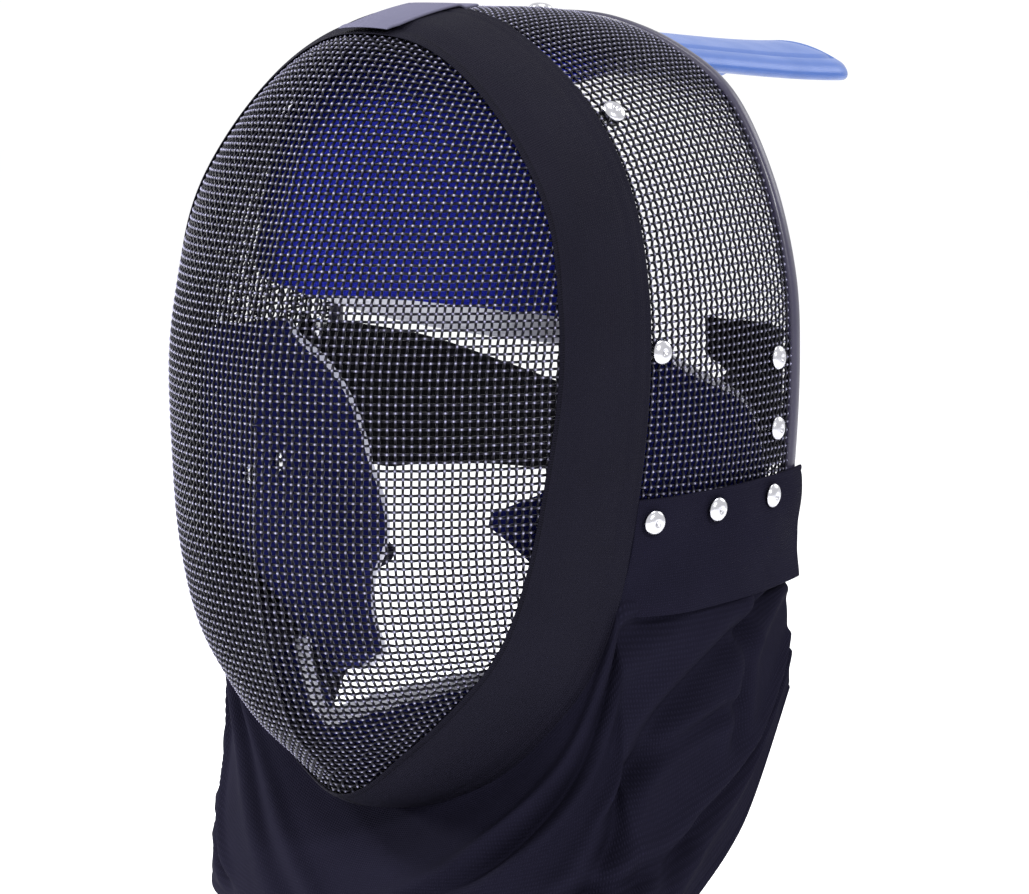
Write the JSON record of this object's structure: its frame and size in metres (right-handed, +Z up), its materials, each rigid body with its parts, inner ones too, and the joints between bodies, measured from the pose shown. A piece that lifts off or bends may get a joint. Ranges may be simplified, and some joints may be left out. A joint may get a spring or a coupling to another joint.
{
  "type": "fencing mask",
  "caption": "Fencing mask with a woven wire basket, cloth trim, padded throat bib, inner pads, back strap and a padded rear tongue.",
  "frame": {"origin": "head seat: the middle of the crown pad's underside, where the top of the head rests", "axes": "+Z up, -Y the way the face looks, +X the wearer's left"},
  "size_m": [0.2402, 0.3483, 0.3538],
  "materials": {
    "wire": "black-coated round steel wire, satin",
    "trim": "charcoal-black woven tape, matt",
    "patch": "lilac-grey cloth, stitched border",
    "binding": "blue-grey smooth edge binding",
    "bib_cloth": "very dark navy quilted cotton, matt",
    "pad_lining": "royal blue brushed lining with a pale grey binding",
    "webbing": "black webbing, matt",
    "tongue_skin": "light blue leatherette over padding",
    "rivet": "nickel-plated domed rivets"
  },
  "bodies": {
    "root": {"front_mesh": "wire", "side_mesh": "wire", "trim_band": "trim", "trim_patch": "patch", "rim_binding": "binding", "yoke_left": "bib_cloth", "yoke_right": "bib_cloth", "bib": "bib_cloth", "crown_pad": "pad_lining", "side_pad_left": "pad_lining", "side_pad_right": "pad_lining", "chin_pad": "pad_lining", "back_strap": "webbing", "tongue": "tongue_skin", "rivet_brow_left": "rivet", "rivet_temple_left": "rivet", "rivet_strap_upper_left": "rivet", "rivet_strap_lower_left": "rivet", "rivet_yoke_front_left": "rivet", "rivet_yoke_middle_left": "rivet", "rivet_yoke_back_left": "rivet", "rivet_brow_right": "rivet", "rivet_temple_right": "rivet", "rivet_strap_upper_right": "rivet", "rivet_strap_lower_right": "rivet", "rivet_yoke_front_right": "rivet", "rivet_yoke_middle_right": "rivet", "rivet_yoke_back_right": "rivet", "rivet_tongue": "rivet"}
  },
  "joints": []
}
